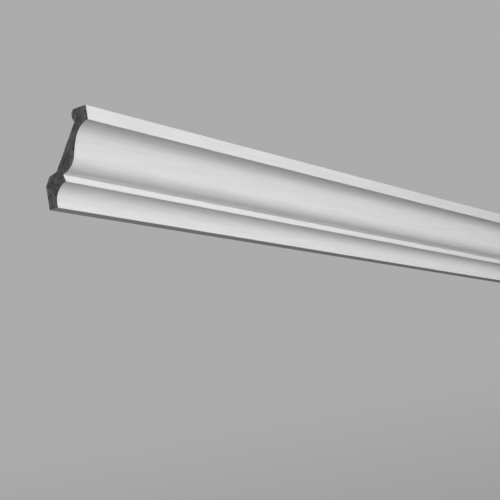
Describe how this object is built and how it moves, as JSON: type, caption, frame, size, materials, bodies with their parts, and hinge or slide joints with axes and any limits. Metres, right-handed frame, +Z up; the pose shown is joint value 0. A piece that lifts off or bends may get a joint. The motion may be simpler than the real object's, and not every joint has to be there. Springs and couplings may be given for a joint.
{
  "type": "cornice moulding length",
  "caption": "Straight length of cornice moulding that bridges the corner of wall and ceiling, with a plain fillet, an ogee face and a hollow foot, open behind.",
  "frame": {"origin": "middle of the flat that lies on the wall, half way along the length", "axes": "+X along the length, +Y into the wall, +Z up to the ceiling"},
  "size_m": [1.1, 0.0539, 0.08],
  "materials": {
    "moulding": "matte white factory primer on dense foam plastic, dark grey where it is cut"
  },
  "bodies": {
    "root": {"cornice_moulding": "moulding"}
  },
  "joints": []
}
